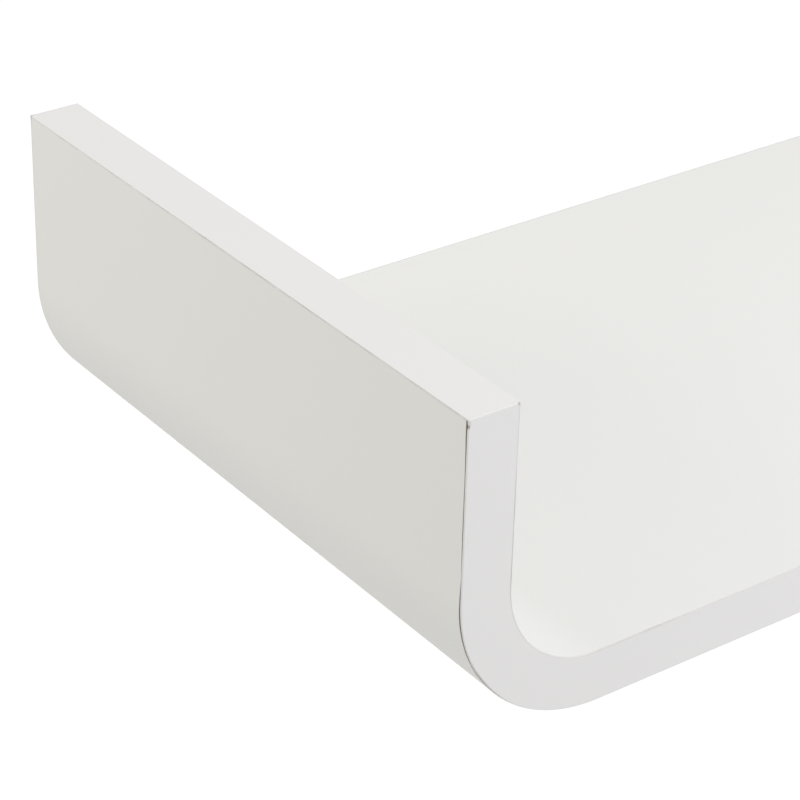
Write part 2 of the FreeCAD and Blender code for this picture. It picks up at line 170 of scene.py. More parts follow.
# Beech: pale pinkish-brown wood with growth bands of about 2 mm and short dark ray flecks, smooth
# from the lathe and left bare.
BAND, RAY = 2.0 * MM, 0.5 * MM
beech = new_material("turned_beech")
nodes = beech.node_tree
place = add_node(nodes, "ShaderNodeTexCoord", {}).outputs["Object"]
bands = add_node(
    nodes, "ShaderNodeTexNoise", {"Vector": place, "Scale": 1 / BAND, "Detail": 2.0, "Distortion": 0.4}
).outputs["Fac"]
rays = add_node(
    nodes, "ShaderNodeTexNoise", {"Vector": place, "Scale": 1 / RAY, "Detail": 1.0}
).outputs["Fac"]
ray_share = add_node(
    nodes, "ShaderNodeMapRange", {"Value": rays, "From Min": 0.6, "From Max": 0.7}
).outputs[0]
wood = add_node(
    nodes, "ShaderNodeMix", {0: bands, 6: linear("#B98E66"), 7: linear("#DDBB93")}, data_type="RGBA"
).outputs[2]
flecked = add_node(
    nodes, "ShaderNodeMix", {0: ray_share, 6: wood, 7: linear("#9C7048")}, data_type="RGBA"
).outputs[2]
grain = add_node(
    nodes, "ShaderNodeBump", {"Height": rays, "Strength": 0.4, "Distance": 0.03 * MM}
).outputs["Normal"]
shader = add_node(
    nodes,
    "ShaderNodeBsdfPrincipled",
    {"Base Color": flecked, "Roughness": 0.62, "IOR": 1.5, "Normal": grain},
)
add_node(nodes, "ShaderNodeOutputMaterial", {"Surface": shader.outputs[0]})

for side in ("left", "right"):
    for joint, axis in (("shelf", 0), ("upright", 2)):
        node = f"{side}_{joint}_dowels"
        low, high = (np.array(corner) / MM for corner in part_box(node))
        across = 2 - axis
        radius, length = (high[across] - low[across]) / 2, high[axis] - low[axis]
        along = np.concatenate([FROM_DOWEL_END, [length / 2], length - FROM_DOWEL_END[::-1]])
        # the radius grows over the chamfer, and the flutes, whose depth follows a sharpened cosine of
        # the angle, begin where it ends
        from_end = np.minimum(along, length - along)
        full = radius - np.maximum(CHAMFER - from_end, 0)
        cut = np.clip((from_end - CHAMFER) / FLUTE_RUN_OUT, 0, 1)
        flute = FLUTE_DEPTH * (0.5 - 0.5 * np.cos(FLUTES * AROUND_DOWEL)) ** FLUTE_SHARPNESS
        reach = full[:, None] - cut[:, None] * flute
        dowel = np.zeros((*reach.shape, 3))
        dowel[..., axis] = low[axis] + along[:, None]
        dowel[..., across] = (low[across] + high[across]) / 2 + reach * np.cos(AROUND_DOWEL)
        dowel[..., 1] = reach * np.sin(AROUND_DOWEL)
        places = np.linspace(low[1] + radius, high[1] - radius, DOWELS)
        row = dowel + np.array([0, 1, 0]) * places[:, None, None, None]
        pins = skin(f"{node}_fluted", row, beech)
        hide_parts(node)


# Laminate
#
# Two sheets of white postforming laminate, 0.6 mm thick, bent hot and glued to the core: one over
# the outside of the ends, the bends and the underside, one over the inside and the top. They stop
# a little short of the front edging, where the brown paper of their cut edge shows as a line.
BOARD, BEND, FLAT_HALF, TOP = 15.0, 45.0, 255.0, 96.0
FRONT, REAR = -200.0, 0.0
SHEET, STRIP = 0.6, 0.5
# a narrow row of faces beside each rounded arris and each bend keeps the flat next to it flat in shading
LAP, BEND_LAP, LEAST_ARRIS = 0.06, 0.3, 0.004
# stations along the board stand close together below the tops of the ends, then evenly
FINE_STEP, FINE_REACH = 0.25, 4.1
STATIONS_ON_END, STATIONS_IN_BEND, STATIONS_ON_SHELF = 32, 49, 86
ACROSS_FRONT = np.array([0.02, 0.05, 0.12, 0.3, 0.5, 0.7, 0.88, 0.95, 0.98])  # shares of the width
LONG_RIPPLE, SHORT_RIPPLE = 23.0, 9.1


def rounded_section(low, high, front, back, radii, steps=4):
    """Rings of depth and y for a bar of rectangular section, one for each station.

    Each corner is a quarter circle about a centre one radius in from its two sides, with one more
    point a lap before and a lap after it. Along the front the points from corner to corner stand
    closer together towards the corners.
    """
    low, high, front, back = (np.asarray(side, float) for side in (low, high, front, back))
    corners = ((low, front, 1, 1), (high, front, -1, 1), (high, back, -1, -1), (low, back, 1, -1))
    arcs = []
    for k, ((side, end, inward, along), radius) in enumerate(zip(corners, radii)):
        radius = np.maximum(radius, LEAST_ARRIS) + 0 * low
        a = np.radians(180 + 90 * k) + np.linspace(0, np.pi / 2, steps + 1)
        arc_d = (side + inward * radius)[:, None] + radius[:, None] * np.cos(a)
        arc_y = (end + along * radius)[:, None] + radius[:, None] * np.sin(a)
        before_d, after_d = arc_d[:, :1] + LAP * np.sin(a[0]), arc_d[:, -1:] - LAP * np.sin(a[-1])
        before_y, after_y = arc_y[:, :1] - LAP * np.cos(a[0]), arc_y[:, -1:] + LAP * np.cos(a[-1])
        arcs.append((np.hstack([before_d, arc_d, after_d]), np.hstack([before_y, arc_y, after_y])))
    between = [
        first[:, -1:] + ACROSS_FRONT * (second[:, :1] - first[:, -1:])
        for first, second in zip(arcs[0], arcs[1])
    ]
    arcs.insert(1, between)
    return tuple(np.hstack(values) for values in zip(*arcs))


def end_stations(top, radius):
    """Heights from a rounded top end down to the bend, and how far the section is drawn in at each.

    Over the end's quarter circle, at angle a, the station lies radius * (1 - sin a) below the top and
    the section is drawn in by radius * (1 - cos a). Steps are fine near the top and coarser below.
    """
    a = np.radians([90, 90, 67.5, 45, 22.5, 0])
    heights = top - radius * (1 - np.sin(a))
    inset = radius * (1 - np.cos(a))
    inset[0] += LAP
    fine = heights[-1] - np.concatenate([[LAP], np.arange(FINE_STEP, FINE_REACH, FINE_STEP)])
    coarse = np.linspace(fine[-1], BEND + BEND_LAP, STATIONS_ON_END)[1:]
    heights = np.concatenate([heights, fine, coarse])
    return heights, np.concatenate([inset, np.zeros(len(heights) - len(inset))])


def board_line(heights):
    """Stations along the bent board, from the left top end to the right: foot x and z, direction x and z.

    What lies at a depth below the outer face is foot + (BEND - depth) * direction. The foot follows
    the given heights at the ends, stands still in the bends while the direction turns a quarter, and
    slides along the shelf while the direction points down.
    """
    turn = np.linspace(0, 90, STATIONS_IN_BEND)
    slide = np.linspace(-FLAT_HALF, FLAT_HALF, STATIONS_ON_SHELF)
    slide[[0, -1]] *= 1 - BEND_LAP / FLAT_HALF
    end = np.full(len(heights) + len(turn), FLAT_HALF)
    level = np.full(2 * len(turn) + len(slide), BEND)
    upright = np.zeros(len(heights))
    angle = np.concatenate([upright, turn, 90 + 0 * slide, 90 + turn, 180 + upright])
    angle = np.radians(180 + angle)
    foot_x = np.concatenate([-end, slide, end])
    foot_z = np.concatenate([heights, level, heights[::-1]])
    return foot_x, foot_z, np.cos(angle), np.sin(angle)


def at_both_ends(inset, line):
    """An inset at the stations of the left end, none between, and the same again at the right end."""
    return np.concatenate([inset, np.zeros(len(line[0]) - 2 * len(inset)), inset[::-1]])


def travelled(line):
    """Distance covered along the outer face up to each station: the lengths of the steps, added up."""
    foot_x, foot_z, out_x, out_z = line
    step = np.hypot(np.diff(foot_x + BEND * out_x), np.diff(foot_z + BEND * out_z))
    return np.concatenate([[0], np.cumsum(step)])


def from_tops(travel):
    """Distance along the outer face from the nearer top end: the smaller of the two distances."""
    return np.minimum(travel, travel[-1] - travel)


def bent_bar(line, depth, y):
    """Carries section rings of depth and y along the board's line."""
    foot_x, foot_z, out_x, out_z = (values[:, None] for values in line)
    reach = BEND - depth
    return np.stack([foot_x + reach * out_x, y, foot_z + reach * out_z], axis=-1)[None]


def waver(s, size):
    """A slow irregular ripple: 0.6 of the size in a long sine, 0.4 in a short one out of step with it."""
    long, short = 2 * np.pi * s / LONG_RIPPLE, 2 * np.pi * s / SHORT_RIPPLE
    return size * (0.6 * np.sin(long + 0.7) + 0.4 * np.sin(short))


def swell(s, size, middle, spread):
    """A bell-shaped swelling: size * exp(-((s - middle) / spread) ** 2)."""
    return size * np.exp(-(((s - middle) / spread) ** 2))


def uneven(s, way, even, ripple, swells):
    """A width or shade along a line: an even part, a ripple over s and swellings over way, added up."""
    return even + waver(s, ripple) + sum(swell(way, *one) for one in swells)


# Postforming laminate: white decor paper over brown kraft paper, set hard with melamine resin
# between steel plates. The face is a warm white satin with a very fine pearl grain, and the cut
# edge is brown below the top tenth of a millimetre.
PEARL, CLOUD = 0.7 * MM, 45 * MM
DECOR, DECOR_FADE = 0.10, 0.03
laminate = new_material("white_postforming_laminate")
nodes = laminate.node_tree
place = add_node(nodes, "ShaderNodeTexCoord", {}).outputs["Object"]
pearl = add_node(
    nodes, "ShaderNodeTexNoise", {"Vector": place, "Scale": 1 / PEARL, "Detail": 2.0, "Roughness": 0.55}
).outputs["Fac"]
cloud = add_node(
    nodes, "ShaderNodeTexNoise", {"Vector": place, "Scale": 1 / CLOUD, "Detail": 3.0, "Roughness": 0.6}
).outputs["Fac"]
white = add_node(
    nodes, "ShaderNodeMix", {0: cloud, 6: linear("#ECECE8"), 7: linear("#EEEEEA")}, data_type="RGBA"
).outputs[2]
kraft = add_node(
    nodes, "ShaderNodeMix", {0: pearl, 6: linear("#9D9488"), 7: linear("#B9B0A4")}, data_type="RGBA"
).outputs[2]
below = add_node(nodes, "ShaderNodeAttribute", {}, attribute_name="below_face").outputs["Fac"]
cut = add_node(
    nodes, "ShaderNodeMapRange", {"Value": below, "From Min": DECOR, "From Max": DECOR + DECOR_FADE}
).outputs[0]
colour = add_node(nodes, "ShaderNodeMix", {0: cut, 6: white, 7: kraft}, data_type="RGBA").outputs[2]
gloss = add_node(
    nodes,
    "ShaderNodeMapRange",
    {"Value": cloud, "From Min": 0.3, "From Max": 0.7, "To Min": 0.44, "To Max": 0.52},
).outputs[0]
relief = add_node(
    nodes, "ShaderNodeBump", {"Height": pearl, "Strength": 0.25, "Distance": 0.02 * MM}
).outputs["Normal"]
shader = add_node(
    nodes,
    "ShaderNodeBsdfPrincipled",
    {"Base Color": colour, "Roughness": gloss, "IOR": 1.45, "Normal": relief},
)
add_node(nodes, "ShaderNodeOutputMaterial", {"Surface": shader.outputs[0]})

TOP_SEAM, REAR_SEAM, END_ARRIS, FACE_ARRIS, GLUE_ARRIS = 0.03, 0.03, 0.03, 0.08, 0.02
heights, inset = end_stations(TOP - STRIP - TOP_SEAM, END_ARRIS)
line = board_line(heights)
draw_in = at_both_ends(inset, line)
travel = travelled(line)
way = from_tops(travel)

# the outer sheet's seam is the widest: it opens at the tops of the ends, closes before the bends and
# opens twice in them, where the sheet is stretched most; the inner one opens where the shelf begins.
# A swelling is given by its size, its distance from the top of the end and its spread.
OUTER_SEAM, OUTER_RIPPLE = 0.33, 0.04
OUTER_SWELLS = ((0.2, 3, 7), (-0.2, 43, 5), (0.33, 61, 14), (0.44, 88, 11))
INNER_SEAM, INNER_RIPPLE, INNER_SWELLS = 0.05, 0.02, ((0.05, 137, 13),)
outer_seam = uneven(travel, way, OUTER_SEAM, OUTER_RIPPLE, OUTER_SWELLS)
inner_seam = uneven(travel, way, INNER_SEAM, INNER_RIPPLE, INNER_SWELLS)
outer_arrises = (FACE_ARRIS, GLUE_ARRIS, GLUE_ARRIS, FACE_ARRIS)
inner_arrises = (GLUE_ARRIS, FACE_ARRIS, FACE_ARRIS, GLUE_ARRIS)
for name, low, high, seam, arrises in (
    ("outer_laminate", 0, SHEET, outer_seam, outer_arrises),
    ("inner_laminate", BOARD - SHEET, BOARD, inner_seam, inner_arrises),
):
    depth, y = rounded_section(
        low + draw_in,
        high - draw_in,
        FRONT + STRIP + seam + draw_in,
        REAR - STRIP - REAR_SEAM - draw_in,
        [arris - draw_in for arris in arrises],
    )
    below_face = depth if low == 0 else BOARD - depth
    sheet = skin(f"{name}_sheet", bent_bar(line, depth, y), laminate, below_face=below_face)
    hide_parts(name)


# Edging
#
# White ABS edging glued round the board's cut edges: a U-shaped strip on the front, another on the
# rear, open around the hangers, and a short strip on top of each end. Trimmed flush with a scraper,
# which leaves a small round arris. The left end's top corners are knocked.

# ABS edging: extruded plastic, dyed to the laminate's white, satin, with a fine grain and a few dark
# specks;
# where it is worn, brown shows, and the same brown paints dirt and shade along the front strip's arrises.
GRAIN, SPECK = 0.6 * MM, 7 * MM
edging = new_material("white_abs_edging")
nodes = edging.node_tree
place = add_node(nodes, "ShaderNodeTexCoord", {}).outputs["Object"]
grain = add_node(
    nodes, "ShaderNodeTexNoise", {"Vector": place, "Scale": 1 / GRAIN, "Detail": 2.0, "Roughness": 0.55}
).outputs["Fac"]
cloud = add_node(
    nodes, "ShaderNodeTexNoise", {"Vector": place, "Scale": 1 / CLOUD, "Detail": 3.0, "Roughness": 0.6}
).outputs["Fac"]
white = add_node(
    nodes, "ShaderNodeMix", {0: cloud, 6: linear("#EAE9E6"), 7: linear("#EBEAE7")}, data_type="RGBA"
).outputs[2]
spots = add_node(
    nodes, "ShaderNodeTexVoronoi", {"Vector": place, "Scale": 1 / SPECK}
).outputs["Distance"]
speck = add_node(
    nodes, "ShaderNodeMapRange", {"Value": spots, "From Min": 0.04, "From Max": 0.015, "To Max": 0.22}
).outputs[0]
specked = add_node(
    nodes, "ShaderNodeMix", {0: speck, 6: white, 7: linear("#8C857C")}, data_type="RGBA"
).outputs[2]
# the mark holds wear, and painted shade along the front strip's inner arris
wear = add_node(nodes, "ShaderNodeAttribute", {}, attribute_name="wear").outputs["Fac"]
colour = add_node(
    nodes, "ShaderNodeMix", {0: wear, 6: specked, 7: linear("#867868")}, data_type="RGBA"
).outputs[2]
gloss = add_node(
    nodes,
    "ShaderNodeMapRange",
    {"Value": cloud, "From Min": 0.3, "From Max": 0.7, "To Min": 0.38, "To Max": 0.46},
).outputs[0]
relief = add_node(
    nodes, "ShaderNodeBump", {"Height": grain, "Strength": 0.2, "Distance": 0.02 * MM}
).outputs["Normal"]
shader = add_node(
    nodes,
    "ShaderNodeBsdfPrincipled",
    {"Base Color": colour, "Roughness": gloss, "IOR": 1.52, "Normal": relief},
)
add_node(nodes, "ShaderNodeOutputMaterial", {"Surface": shader.outputs[0]})

ARRIS, TOP_ARRIS, THIN_ARRIS, SHELF_ARRIS, GLUED_ARRIS = 0.2, 0.3, 0.1, 0.05, 0.03
STEEP = 0.5  # from this steepness on, the inner arris is as wide as on the ends
KNOCK_DEPTH, KNOCK_BELOW_TOP, KNOCK_SPREAD = 0.25, 2.0, 0.5
heights, inset = end_stations(TOP, TOP_ARRIS)
line = board_line(heights)
draw_in = at_both_ends(inset, line)
travel = travelled(line)
way = from_tops(travel)
steepness = np.abs(line[2])  # 1 on the ends, falling to 0 through the bends
below_left_top = np.where(line[0] < 0, TOP - line[1], BEND)
knock = swell(below_left_top, KNOCK_DEPTH, KNOCK_BELOW_TOP, KNOCK_SPREAD)
inner_arris = SHELF_ARRIS + (ARRIS - SHELF_ARRIS) * np.clip(steepness / STEEP, 0, 1)
depth, y = rounded_section(
    draw_in + knock,
    BOARD - draw_in,
    FRONT + draw_in,
    FRONT + STRIP + 0 * draw_in,
    (ARRIS - draw_in, inner_arris - draw_in, GLUED_ARRIS, GLUED_ARRIS),
)
# wear and painted shade, from 0 to 1: bare core in the knock, a pale flake over it, a chip at the inner
# top corner, dirt and painted shade along the scraped inner arris, most of it low on the ends and where
# the shelf begins, and a darker line on the outer arris in the bends; the caps on the ends stay clean
BARE, BARE_FROM_DEPTH, BARE_WIDTH = 0.6, 0.2, 0.25
FLAKE, FLAKE_TOP, FLAKE_FOOT, FLAKE_WIDTH = 0.15, 0.5, 1.6, 0.9
CHIP, CHIP_FOOT, CHIP_WIDTH = 0.5, 0.7, 0.9
# the line along the inner arris is dirt and painted shade: it darkens the arris where the lamps light it
INNER_DIRT_AND_SHADE, INNER_DIRT_AND_SHADE_SWELLS, INNER_DIRT_AND_SHADE_WIDTH = 0.09, ((0.36, 40, 24), (0.1, 133, 13)), 0.27
# a darker line on the outer arris in the bends
OUTER_ARRIS_DARKENING, OUTER_ARRIS_DARKENING_SWELLS, OUTER_ARRIS_DARKENING_WIDTH = 0.0, ((0.6, 80, 7),), 0.3
DARK_LINE_RIPPLE = 0.3
below = below_left_top[:, None]
patchy = 1 + waver(travel, DARK_LINE_RIPPLE)
inner_dirt_and_shade = patchy * uneven(travel, way, INNER_DIRT_AND_SHADE, 0, INNER_DIRT_AND_SHADE_SWELLS)
outer_arris_darkening = patchy * uneven(travel, way, OUTER_ARRIS_DARKENING, 0, OUTER_ARRIS_DARKENING_SWELLS)
bare_share = np.clip(knock / BARE_FROM_DEPTH, 0, 1)[:, None]
on_flake = (below > FLAKE_TOP) & (below < FLAKE_FOOT) & (depth < FLAKE_WIDTH)
on_chip = (below < CHIP_FOOT) & (depth > BOARD - CHIP_WIDTH)
worn_and_shaded = BARE * bare_share * (depth < knock[:, None] + BARE_WIDTH)
worn_and_shaded = np.maximum(worn_and_shaded, FLAKE * on_flake)
worn_and_shaded = np.maximum(worn_and_shaded, CHIP * on_chip)
worn_and_shaded = np.maximum(worn_and_shaded, inner_dirt_and_shade[:, None] * (depth > BOARD - INNER_DIRT_AND_SHADE_WIDTH))
worn_and_shaded = np.maximum(worn_and_shaded, outer_arris_darkening[:, None] * (depth < OUTER_ARRIS_DARKENING_WIDTH))
worn_and_shaded[[0, 1, -2, -1]] = 0
strip = skin("front_edge_strip_trimmed", bent_bar(line, depth, y), edging, wear=worn_and_shaded)
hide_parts("front_edge_strip")

# a top strip's section is carried from front to rear; the glue line under it opens and closes, most
# of all towards the middle and once more near the front
FRONT_GAP, REAR_GAP, FRONT_STATION, REAR_STATION, STATIONS_ON_TOP = 0.004, 0.02, 0.8, 1.2, 100
GLUE, GLUE_RIPPLE, GLUE_SWELLS, GLUE_LIMIT = 0.03, 0.05, ((0.06, -118, 45), (0.1, -193.5, 3)), 0.13
y = np.linspace(FRONT + FRONT_STATION, REAR - REAR_STATION, STATIONS_ON_TOP)
y = np.concatenate([[FRONT + STRIP + FRONT_GAP], y, [REAR - STRIP - REAR_GAP]])
under = TOP - STRIP + np.clip(uneven(y, y, GLUE, GLUE_RIPPLE, GLUE_SWELLS), 0, GLUE_LIMIT)
depth, z = rounded_section(
    0 * y, BOARD + 0 * y, under, TOP + 0 * y, (GLUED_ARRIS, GLUED_ARRIS, THIN_ARRIS, THIN_ARRIS)
)
for side, out in (("left", -1), ("right", 1)):
    bar = np.stack([out * (FLAT_HALF + BEND - depth), y[:, None] + 0 * z, z], axis=-1)[None]
    strip = skin(f"{side}_top_strip_trimmed", bar, edging, wear=0.0)
    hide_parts(f"{side}_top_strip")

# rows of points on an arris of 0.2 mm and beside it, the same from the inside outwards, and the points
# between two such arrises
RUNGS = np.array([0, 0.02, 0.06, 0.12, 0.2, 0.26])
TO_OUTLINE = RUNGS[:0:-1]
CLEAR, POINTS_BETWEEN = 0.6, 25
NEARLY_NONE = 1e-9  # stands in for 0 where it divides


def arris_drop(distance, radius):
    """How far a rounded arris has fallen at a distance from the edge, over a quarter circle.

    It is radius - sqrt(radius ** 2 - (radius - distance) ** 2), and nothing from one radius on.
    """
    short = np.clip(radius - distance, 0, radius)
    return radius - np.sqrt(radius**2 - short**2)


def crossing(half):
    """Places across a plate from one edge to the other, closer together beside the edges."""
    beside = half - RUNGS
    between = np.linspace(CLEAR - half, half - CLEAR, POINTS_BETWEEN)
    return np.concatenate([-beside, between, beside[::-1]])


def square_outline(half, low, high, steps):
    """A rectangle's outline: along its lower edge, up one side, back along the upper edge and down."""
    across = crossing(half)
    rise = np.linspace(low, high, steps)[1:-1]
    return np.vstack(
        [
            np.column_stack([across, 0 * across + low]),
            np.column_stack([0 * rise + half, rise]),
            np.column_stack([across[::-1], 0 * across + high]),
            np.column_stack([0 * rise - half, rise[::-1]]),
        ]
    )


def obround_reach(across, up, length, radius):
    """How far an obround's edge lies from the lower end of its middle line, in directions across and up.

    The straight side lies radius / across away. Beyond the middle line's upper end the round end lies
    length * up + sqrt(radius ** 2 - (length * across) ** 2) away, and below it, radius.
    """
    side = radius / np.maximum(np.abs(across), NEARLY_NONE)
    end = length * up + np.sqrt(np.maximum(radius**2 - (length * across) ** 2, 0))
    return np.where(up < 0, radius, np.where(side * up <= length, side, end))


def pierced(outline, joints, middle, reach, beside_opening, beside_outline, face, back):
    """Points and faces of a flat plate around one opening.

    A straight spoke runs from every point of the outline towards the opening's middle, and reach gives
    where the opening's edge crosses it. Rings of points follow the outline and the opening on the back,
    at the y of back, then on the face the opening, lines at the distances beside_opening from it along
    the spokes, lines at the distances beside_outline from the outline, square to it, and the outline.
    face gives the outer y by place. A wall closes the outline, except along joints, which are heights
    where another part goes on.
    """
    spoke = outline - [0, middle]
    far = np.hypot(*spoke.T)
    across, up = spoke.T / far
    near = reach(across, up)
    edge = np.roll(outline, -1, 0) - outline
    square = np.abs(edge[:, 1] * across - edge[:, 0] * up) / np.hypot(*edge.T)
    square = np.minimum(square, np.roll(square, 1))
    opening_rings = [near + d for d in beside_opening]
    outline_rings = [far - d / square for d in beside_outline]
    rings = np.stack([far, near, near, *opening_rings, *outline_rings, far])
    x, z = rings * across, middle + rings * up
    y = np.vstack([np.full((2, len(far)), back), face(x[2:], z[2:])])
    index = np.arange(x.size).reshape(x.shape)
    on_joint = np.isin(outline[:, 1], joints)
    wall = ring_faces(index[[-1, 0]])[0][~(on_joint & np.roll(on_joint, -1))]
    return np.stack([x, y, z], -1).reshape(-1, 3), np.vstack([ring_faces(index).reshape(-1, 4), wall])


def put_together(parts):
    """Points and faces of several parts, as one set of each."""
    first = np.cumsum([0, *(len(points) for points, _ in parts)])
    points = np.vstack([points for points, _ in parts])
    return points, np.vstack([faces + k for (_, faces), k in zip(parts, first)]).tolist()


# the rear strip: a bar up to a joint below the hangers, and above it a plate around each opening
MIDDLE = FLAT_HALF + BEND - BOARD / 2  # from the shelf's middle to the middle of an end
LOWER_SCREW, UPPER_SCREW, OPENING, STRIP_JOINT = 62.25, 85.5, 5.65, 54.0
STATIONS_BELOW_JOINT, POINTS_UP_STRIP, OPENING_RINGS, OUTLINE_MARGIN = 20, 61, (0.1, 0.5), 1.0
REAR_CHIP, REAR_CHIP_REACH = 0.8, 0.75
OPENING_MIDDLE, OPENING_HALF = (LOWER_SCREW + UPPER_SCREW) / 2, (UPPER_SCREW - LOWER_SCREW) / 2


def strip_face(across, height):
    """The rear strip's outer face, which falls away at both sides and at the top."""
    return REAR - arris_drop(np.minimum(BOARD / 2 - np.abs(across), TOP - height), ARRIS)


across = crossing(BOARD / 2)
depth = BOARD / 2 + np.concatenate([across, across[::-1]])
y = np.concatenate([strip_face(across, 0), REAR - STRIP + 0 * across])
line = board_line(np.linspace(STRIP_JOINT, BEND + BEND_LAP, STATIONS_BELOW_JOINT))
bar = bent_bar(line, depth + 0 * line[0][:, None], y + 0 * line[0][:, None])[0]
bar_faces = ring_faces(np.arange(bar[..., 0].size).reshape(bar.shape[:2])).reshape(-1, 4)
points, faces = pierced(
    square_outline(BOARD / 2, STRIP_JOINT, TOP, POINTS_UP_STRIP),
    [STRIP_JOINT],
    OPENING_MIDDLE,
    lambda across, up: obround_reach(across, np.abs(up), OPENING_HALF, OPENING),
    OPENING_RINGS,
    (OUTLINE_MARGIN, *TO_OUTLINE),
    strip_face,
    REAR - STRIP,
)
ends = [(points + [out * MIDDLE, 0, 0], faces) for out in (-1, 1)]
points, faces = put_together([(bar.reshape(-1, 3), bar_faces), *ends])
from_corner = np.hypot(points[:, 0] + FLAT_HALF + BEND, points[:, 2] - TOP)
worn_and_shaded = REAR_CHIP * (from_corner < REAR_CHIP_REACH)
strip = add_piece("rear_edge_strip_trimmed", points, faces, edging, wear=worn_and_shaded)
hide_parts("rear_edge_strip")


# Hangers
#
# A pressed steel keyhole plate let into the rear edge of each end, and the two countersunk screws
# that hold it. The wall screw's head goes in at the round hole and the shelf drops onto its shank.

# Zinc-plated steel: rolled sheet, bright plated and clear passivated, so it is a bluish grey metal
# with faint rolling lines along its length and a soft, uneven sheen.
ROLLING, BLOOM, STRETCH = 0.35 * MM, 6 * MM, 0.06
zinc = new_material("bright_zinc_plated_steel")
nodes = zinc.node_tree
place = add_node(nodes, "ShaderNodeTexCoord", {}).outputs["Object"]
drawn = add_node(nodes, "ShaderNodeMapping", {"Vector": place, "Scale": (1, 1, STRETCH)}).outputs[0]
lines = add_node(
    nodes, "ShaderNodeTexNoise", {"Vector": drawn, "Scale": 1 / ROLLING, "Detail": 2.0}
).outputs["Fac"]
bloom = add_node(
    nodes, "ShaderNodeTexNoise", {"Vector": place, "Scale": 1 / BLOOM, "Detail": 3.0}
).outputs["Fac"]
metal = add_node(
    nodes, "ShaderNodeMix", {0: bloom, 6: linear("#AEB2B8"), 7: linear("#D0D2D3")}, data_type="RGBA"
).outputs[2]
gloss = add_node(
    nodes,
    "ShaderNodeMapRange",
    {"Value": bloom, "From Min": 0.3, "From Max": 0.7, "To Min": 0.26, "To Max": 0.42},
).outputs[0]
relief = add_node(
    nodes, "ShaderNodeBump", {"Height": lines, "Strength": 0.25, "Distance": 0.01 * MM}
).outputs["Normal"]
shader = add_node(
    nodes,
    "ShaderNodeBsdfPrincipled",
    {"Base Color": metal, "Metallic": 1.0, "Roughness": gloss, "Normal": relief},
)
add_node(nodes, "ShaderNodeOutputMaterial", {"Surface": shader.outputs[0]})

PLATE_HALF, PLATE, ROLLED_EDGE, PUNCHED_EDGE = 5.5, 1.5, 0.2, 0.12
ENTRY, ENTRY_RADIUS, SEAT, SLOT_RADIUS = 70.75, 3.75, 78.75, 2.0
HOLE_RADIUS, SINK_RADIUS = 1.55, 2.75
LOWER_JOINT = 66.0
UPPER_JOINT = LOWER_SCREW + UPPER_SCREW - LOWER_JOINT
POINTS_DOWN_SIDE, POINTS_ROUND_END, POINTS_UP_SIDE = 11, 73, 51
SINK_RINGS, KEYHOLE_RINGS = (0.6, 1.15, 1.2, 1.26), (0.02, 0.05, 0.09, 0.14, 0.22, 0.4, 0.6)


def plate_face(across, height):
    """The plate's outer face: it falls at its rolled edge, at the keyhole and into the countersinks."""

    def off(low, high):
        """Distance from the middle line between two heights."""
        return np.hypot(across, height - np.clip(height, low, high))

    keyhole = np.minimum(off(ENTRY, ENTRY) - ENTRY_RADIUS, off(ENTRY, SEAT) - SLOT_RADIUS)
    screw = np.minimum(off(LOWER_SCREW, LOWER_SCREW), off(UPPER_SCREW, UPPER_SCREW))
    rolled = arris_drop(PLATE_HALF - off(LOWER_SCREW, UPPER_SCREW), ROLLED_EDGE)
    punched = arris_drop(keyhole, PUNCHED_EDGE)
    sunk = np.clip(SINK_RADIUS - screw, 0, SINK_RADIUS - HOLE_RADIUS)
    return REAR - np.maximum(np.maximum(rolled, punched), sunk)


def round_outline(half, middle, joint):
    """Outline of a plate's lower end: across the joint, down one side, round the end and up again."""
    across = crossing(half)
    fall = np.linspace(joint, middle, POINTS_DOWN_SIDE)[1:-1]
    a = np.linspace(0, -np.pi, POINTS_ROUND_END)
    return np.vstack(
        [
            np.column_stack([across, 0 * across + joint]),
            np.column_stack([0 * fall + half, fall]),
            np.column_stack([half * np.cos(a), middle + half * np.sin(a)]),
            np.column_stack([0 * fall - half, fall[::-1]]),
        ]
    )


points, faces = pierced(
    round_outline(PLATE_HALF, LOWER_SCREW, LOWER_JOINT),
    [LOWER_JOINT],
    LOWER_SCREW,
    lambda across, up: obround_reach(across, up, 0, HOLE_RADIUS),
    SINK_RINGS,
    TO_OUTLINE,
    plate_face,
    REAR - PLATE,
)
upper_end = (points * [1, 1, -1] + [0, 0, LOWER_SCREW + UPPER_SCREW], faces)
keyhole_part = pierced(
    square_outline(PLATE_HALF, LOWER_JOINT, UPPER_JOINT, POINTS_UP_SIDE),
    [LOWER_JOINT, UPPER_JOINT],
    ENTRY,
    lambda across, up: np.maximum(ENTRY_RADIUS, obround_reach(across, up, SEAT - ENTRY, SLOT_RADIUS)),
    KEYHOLE_RINGS,
    TO_OUTLINE,
    plate_face,
    REAR - PLATE,
)
points, faces = put_together([(points, faces), keyhole_part, upper_end])
for side, out in (("left", -1), ("right", 1)):
    plate = add_piece(f"{side}_hanger_plate_pressed", points + [out * MIDDLE, 0, 0], faces, zinc)
    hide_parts(f"{side}_hanger_plate")

